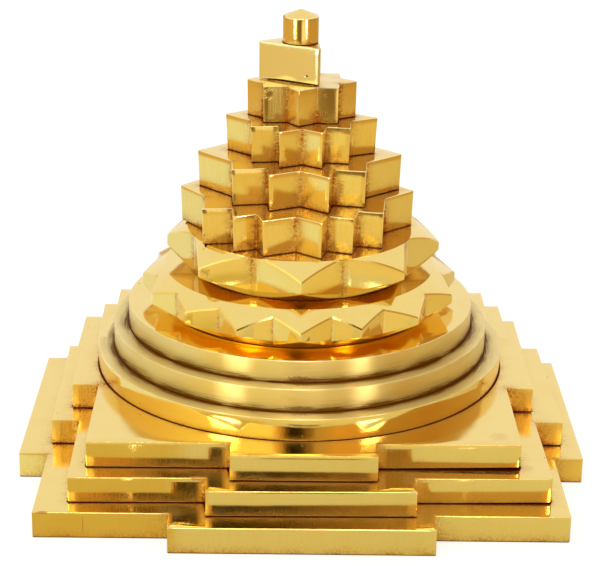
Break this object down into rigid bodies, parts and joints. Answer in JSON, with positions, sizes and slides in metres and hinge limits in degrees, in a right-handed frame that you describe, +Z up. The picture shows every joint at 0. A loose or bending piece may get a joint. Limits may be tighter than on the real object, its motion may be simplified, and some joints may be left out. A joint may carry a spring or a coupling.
{
  "type": "shri yantra",
  "caption": "Stepped pyramid yantra in polished brass: square plates with gates, rings, petal discs, star tiers, a triangle block and a round cap, clamped by a rod.",
  "frame": {"origin": "middle of the lowest plate's underside, on the surface that the object stands on", "axes": "+Z up along the stack, -Y to the front, +X to the right seen from the front"},
  "size_m": [0.152, 0.152, 0.1217],
  "materials": {
    "polished_brass": "hand polished, with file and brush marks and brown patina in the corners",
    "plated_steel": "zinc plated, satin"
  },
  "bodies": {
    "root": {"lower_square_plate": "polished_brass", "middle_square_plate": "polished_brass", "upper_square_plate": "polished_brass", "three_ring_disc": "polished_brass", "sixteen_petal_disc": "polished_brass", "eight_petal_disc": "polished_brass", "fourteen_point_tier": "polished_brass", "outer_ten_point_tier": "polished_brass", "inner_ten_point_tier": "polished_brass", "eight_point_tier": "polished_brass", "triangle_block": "polished_brass", "bindu_cap": "polished_brass", "tie_rod": "plated_steel", "base_washer": "plated_steel", "base_nut": "plated_steel"}
  },
  "joints": []
}
